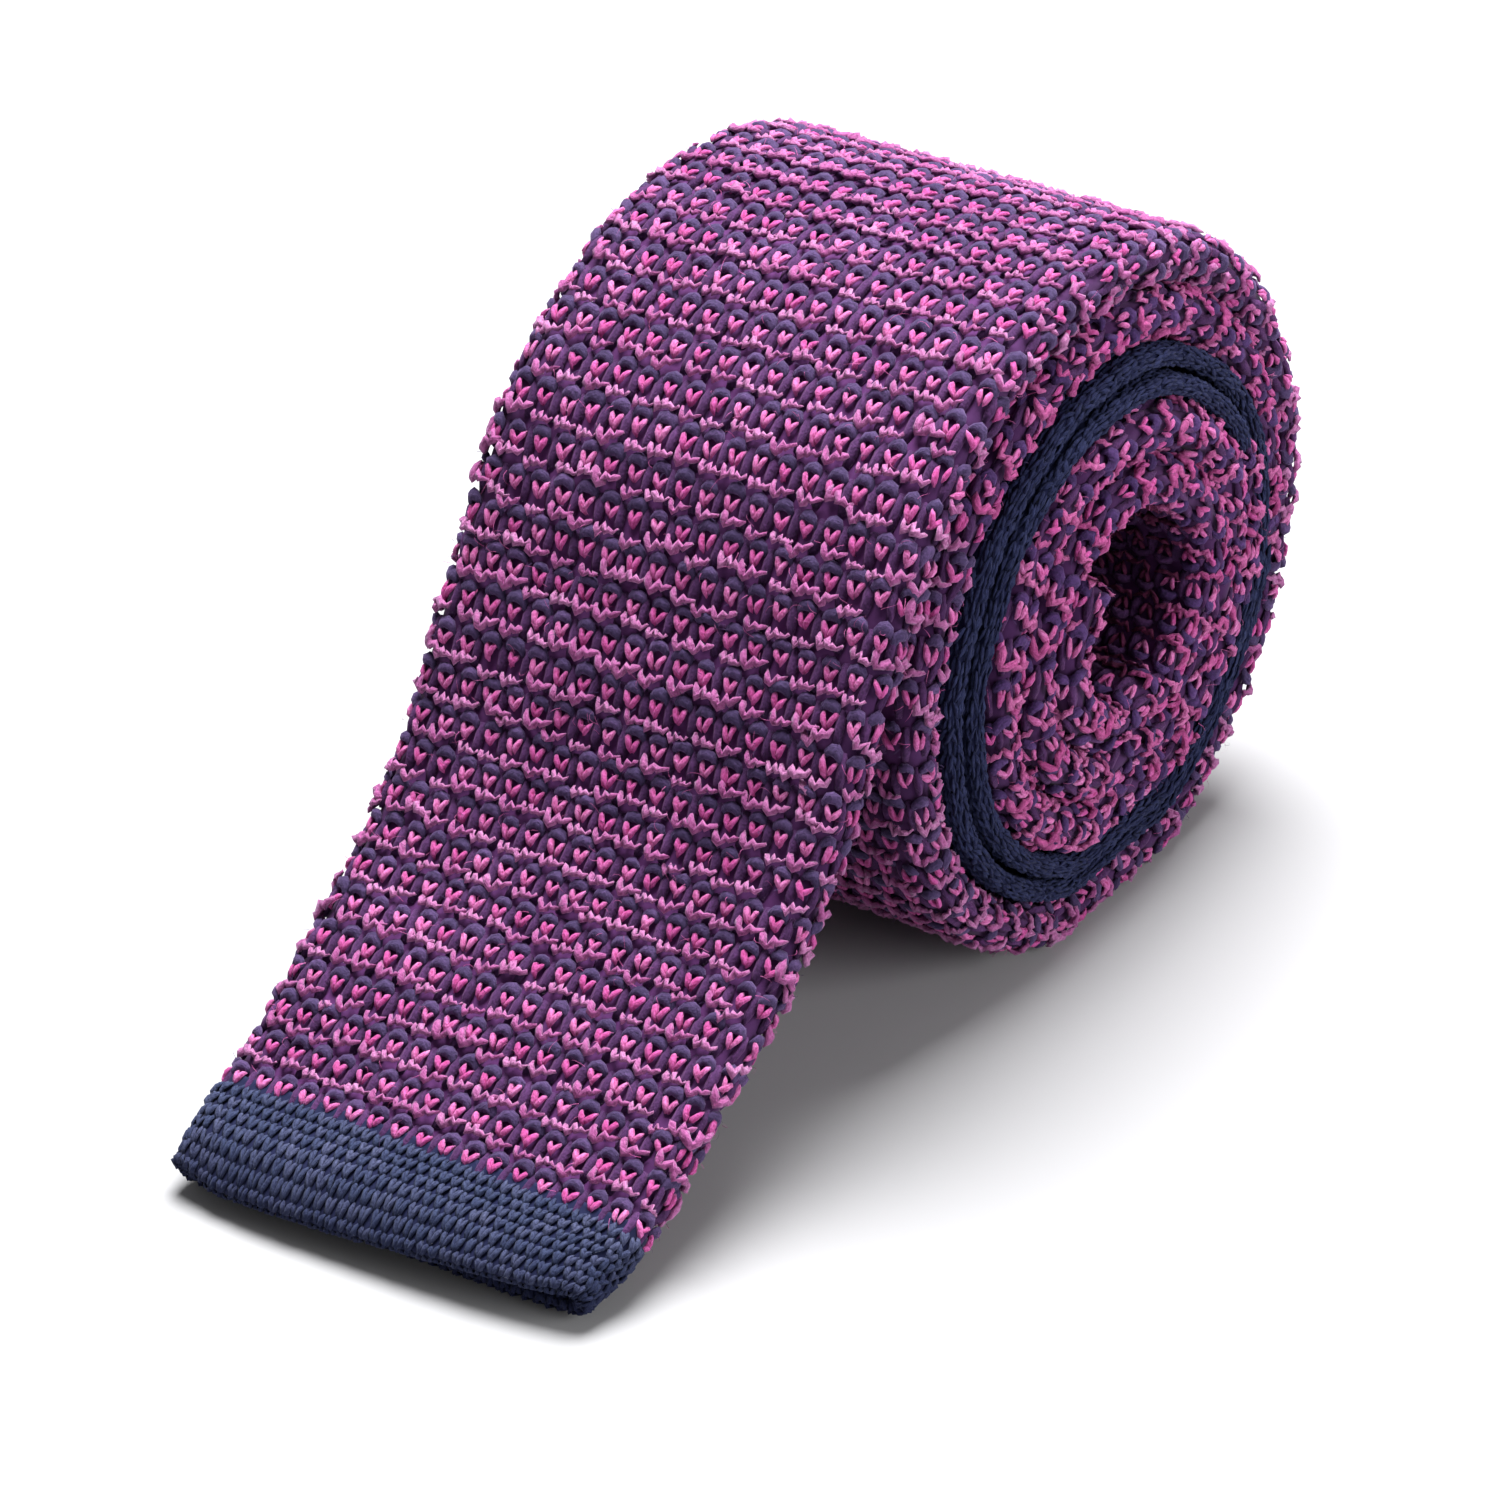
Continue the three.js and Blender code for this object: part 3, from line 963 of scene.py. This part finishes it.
def make_band():
    """The plain band: small plump stitches over the outside, round the lip and a little way inside."""
    pitch = girth_at(0.0) / BAND_COLUMNS
    cells = Cells(
        BAND_HEM_END,
        BORDER,
        BAND_ROW_PITCH,
        BAND_COLUMNS,
        lambda along, share: np.full(along.shape, True),
        phase=0.4 * MM,
    )
    stitches = Build()
    for leg in (FINE_LEFT, FINE_RIGHT):
        Strand(leg, 4, 4, flat=0.65).lay(stitches, cells, pitch, 0.6)
    total = piece("band_stitches", stitches, band_yarn, "end_band")
    cloth = Build()
    rows = evenly(BAND_HEM_END, BORDER + 1 * MM, 0.5 * MM)
    grid_skin(cloth, rows, np.arange(96) / 96, lambda along, share: np.full(along.shape, -BAND_CLOTH_DEPTH))
    return total + piece("band_cloth", cloth, band_cloth, "end_band")


NECK_COLUMNS = 94
NECK_ROW_PITCH = 1.5 * MM
NECK_EDGE = 0.036
NECK_FACE = 0.17
NECK_LEFT = [(-0.46, 1.0, -0.46, 0.18), (-0.34, 0.1, -0.3, 0.31), (-0.12, -0.95, -0.46, 0.18)]
NECK_RIGHT = [(-across, down, height, radius) for across, down, height, radius in NECK_LEFT]


def neck_depth(along, share):
    """The ground under the neck's stitches, sunk at both ends under the patterned ones."""
    from_end = np.minimum(along - NECK_START, NECK_END - along)
    return -0.42 * MM - 0.6 * MM * eased(1 - from_end / (4 * MM))


def make_neck():
    """The plain stretch round the neck, of which only the folded edges show."""
    edge = np.linspace(-NECK_EDGE, NECK_EDGE, 7)
    face = np.linspace(-NECK_FACE, NECK_FACE, 3)
    share = np.concatenate([face, FACE + edge, 2 * FACE + face, 3 * FACE + edge])
    pitch = girth_at(path.at_facet(BLADE_FACETS + NECK_FACETS / 2)) / NECK_COLUMNS
    cells = Cells(
        NECK_START + 1 * MM,
        NECK_END - 1 * MM,
        NECK_ROW_PITCH,
        NECK_COLUMNS,
        lambda along, share: np.abs(np.abs(share) - FACE) < NECK_EDGE,
    )
    stitches = Build()
    for leg in (NECK_LEFT, NECK_RIGHT):
        Strand(leg, 3, 4, flat=0.7).lay(stitches, cells, pitch, 0.7)
    total = piece("neck_stitches", stitches, neck_yarn, "neck_section")
    cloth = Build()
    grid_skin(cloth, evenly(NECK_START, NECK_END, 1.2 * MM), share, neck_depth)
    return total + piece("neck_cloth", cloth, neck_cloth, "neck_section")


triangles = make_patterned_knit() + make_band() + make_neck()
print("triangles in all:", triangles)


# Camera, floor and light

CAMERA = {"azimuth": 36.49, "elevation": 31.72, "roll": -2.16, "distance": 0.5872, "lens": 132.0}
CAMERA_TARGET = Vector((-0.00326, 0.00191, 0.02436))


def make_camera():
    """The photograph's view: turned to the right of the tip, from above."""
    azimuth, elevation, roll = (math.radians(CAMERA[k]) for k in ("azimuth", "elevation", "roll"))
    back = Vector(
        (math.sin(azimuth) * math.cos(elevation), -math.cos(azimuth) * math.cos(elevation), math.sin(elevation))
    )
    right = Vector((math.cos(azimuth), math.sin(azimuth), 0))
    up = back.cross(right)
    turned_right = math.cos(roll) * right + math.sin(roll) * up
    turned_up = back.cross(turned_right)
    data = bpy.data.cameras.new("camera")
    data.lens, data.sensor_width = CAMERA["lens"], 36
    data.clip_start = 0.01
    camera = bpy.data.objects.new("camera", data)
    turn = Matrix((turned_right, turned_up, back)).transposed().to_4x4()
    camera.matrix_world = Matrix.Translation(CAMERA_TARGET + CAMERA["distance"] * back) @ turn
    bpy.context.scene.collection.objects.link(camera)
    bpy.context.scene.camera = camera


def make_floor():
    finish = Finish("pale_floor")
    grain = finish.noise(finish.node("ShaderNodeTexCoord", {}, output=3), 900.0)
    paper = finish.surface({"Base Color": linear(172, 172, 174), "Roughness": 0.9 + 0.05 * grain})
    bpy.ops.mesh.primitive_plane_add(size=6)
    floor = bpy.context.object
    floor.name = "floor"
    floor.data.materials.append(paper)


def make_light(name, place_at, aim, size, power):
    data = bpy.data.lights.new(name, "AREA")
    data.shape, data.size, data.energy = "DISK", size, power
    light = bpy.data.objects.new(name, data)
    light.location = place_at
    light.rotation_euler = (Vector(aim) - Vector(place_at)).to_track_quat("-Z", "Y").to_euler()
    bpy.context.scene.collection.objects.link(light)


def make_studio():
    make_floor()
    make_light("overhead", (-0.12, 0.24, 0.78), (0, 0, 0.03), 0.6, 21.5)
    make_light("side", (0.95, 0.15, 0.35), (0, 0, 0.03), 0.6, 7.5)
    world = bpy.data.worlds.new("studio")
    world.use_nodes = True
    backdrop = world.node_tree.nodes["Background"]
    backdrop.inputs["Color"].default_value = (1, 1, 1, 1)
    backdrop.inputs["Strength"].default_value = 0.21
    bpy.context.scene.world = world
    bpy.context.scene.view_settings.view_transform = "Standard"


make_camera()
make_studio()
